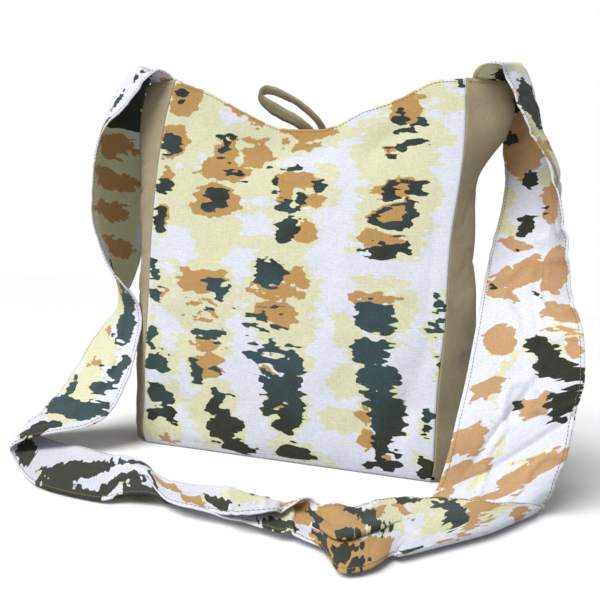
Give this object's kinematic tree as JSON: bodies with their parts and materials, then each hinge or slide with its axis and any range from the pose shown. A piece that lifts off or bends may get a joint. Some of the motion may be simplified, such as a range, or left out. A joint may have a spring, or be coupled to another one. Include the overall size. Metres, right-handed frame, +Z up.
{
  "type": "crossbody bag",
  "caption": "Soft open-topped canvas crossbody bag with a printed body, plain side gussets, a wide self-fabric shoulder strap laid on the floor and a small closure loop.",
  "frame": {"origin": "middle of the flat base, on the surface that the bag stands on", "axes": "+Z up, the front panel faces -Y, +X to the right as seen from the front"},
  "size_m": [0.5482, 0.347, 0.4174],
  "materials": {
    "printed_canvas": "matte printed cotton canvas",
    "khaki_canvas": "matte plain cotton canvas"
  },
  "bodies": {
    "root": {"body_panel": "printed_canvas", "gusset_left": "khaki_canvas", "gusset_right": "khaki_canvas", "strap": "printed_canvas", "closure_loop": "khaki_canvas"}
  },
  "joints": []
}
